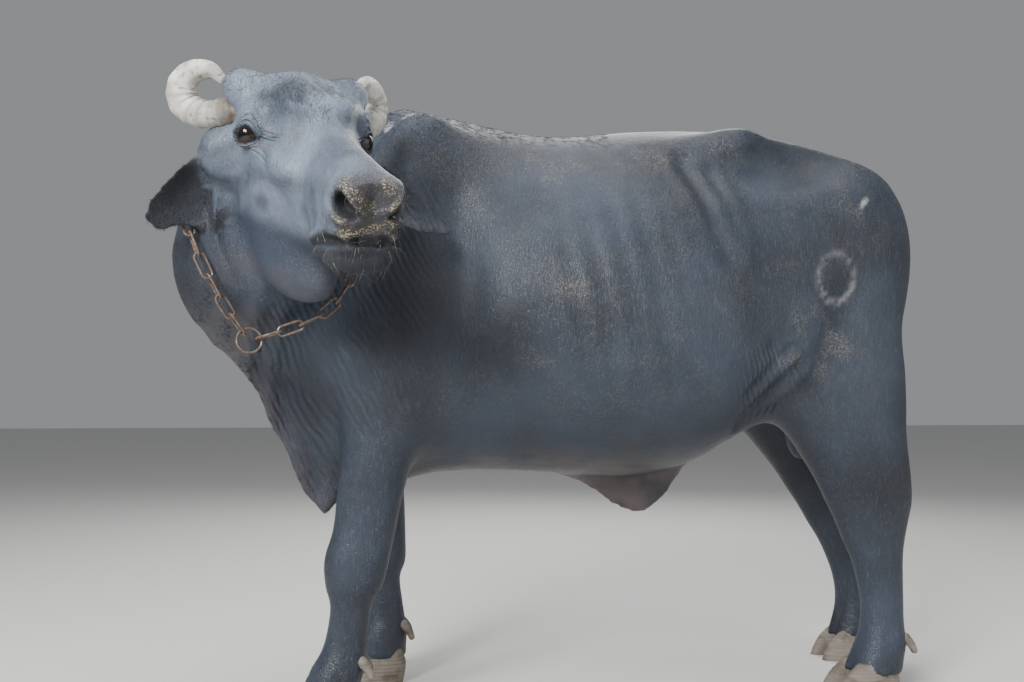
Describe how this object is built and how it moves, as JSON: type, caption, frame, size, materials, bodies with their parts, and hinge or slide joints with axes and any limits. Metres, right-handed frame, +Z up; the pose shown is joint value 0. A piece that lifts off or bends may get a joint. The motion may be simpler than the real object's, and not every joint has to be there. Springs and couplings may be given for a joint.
{
  "type": "water buffalo",
  "caption": "Life-size model of a standing water buffalo bull with curled horns, head turned to its left, wearing a chain collar with a ring.",
  "frame": {"origin": "middle of the base of the model's box, on the floor under the belly", "axes": "+X from the head towards the rump, +Y towards the animal's right side, +Z up"},
  "size_m": [1.7812, 1.1254, 1.3535],
  "materials": {
    "hide": "matte slate-black hide with thin short hair, dusty in places",
    "horn": "rough, ringed grey-cream horn",
    "claw": "dull, scuffed hoof horn",
    "eye": "wet, dark brown",
    "switch_hair": "long coarse black hair",
    "chain": "worn steel with rust"
  },
  "bodies": {
    "root": {"torso": "hide", "neck": "hide", "head": "hide", "claw_front_left_inner": "claw", "claw_front_left_outer": "claw", "claw_front_right_inner": "claw", "claw_front_right_outer": "claw", "claw_hind_left_inner": "claw", "claw_hind_left_outer": "claw", "claw_hind_right_inner": "claw", "claw_hind_right_outer": "claw", "collar_link_01": "chain", "collar_link_02": "chain", "collar_link_03": "chain", "collar_link_04": "chain", "collar_link_05": "chain", "collar_link_06": "chain", "collar_link_07": "chain", "collar_link_08": "chain", "collar_link_09": "chain", "collar_link_10": "chain", "collar_link_11": "chain", "collar_link_12": "chain", "collar_link_13": "chain", "collar_link_14": "chain", "collar_link_15": "chain", "collar_link_16": "chain", "collar_link_17": "chain", "collar_link_18": "chain", "collar_link_19": "chain", "collar_link_20": "chain", "collar_link_21": "chain", "collar_link_22": "chain", "collar_link_23": "chain", "collar_link_24": "chain", "collar_link_25": "chain", "collar_link_26": "chain", "collar_link_27": "chain", "collar_link_28": "chain", "collar_link_29": "chain", "collar_ring": "chain", "ear_left": "hide", "ear_right": "hide", "eye_left": "eye", "eye_right": "eye", "horn_left": "horn", "horn_right": "horn", "leg_front_left": "hide", "leg_front_right": "hide", "leg_hind_left": "hide", "leg_hind_right": "hide", "scrotum": "hide", "sheath": "hide", "tail": "hide", "tail_switch": "switch_hair"}
  },
  "joints": []
}
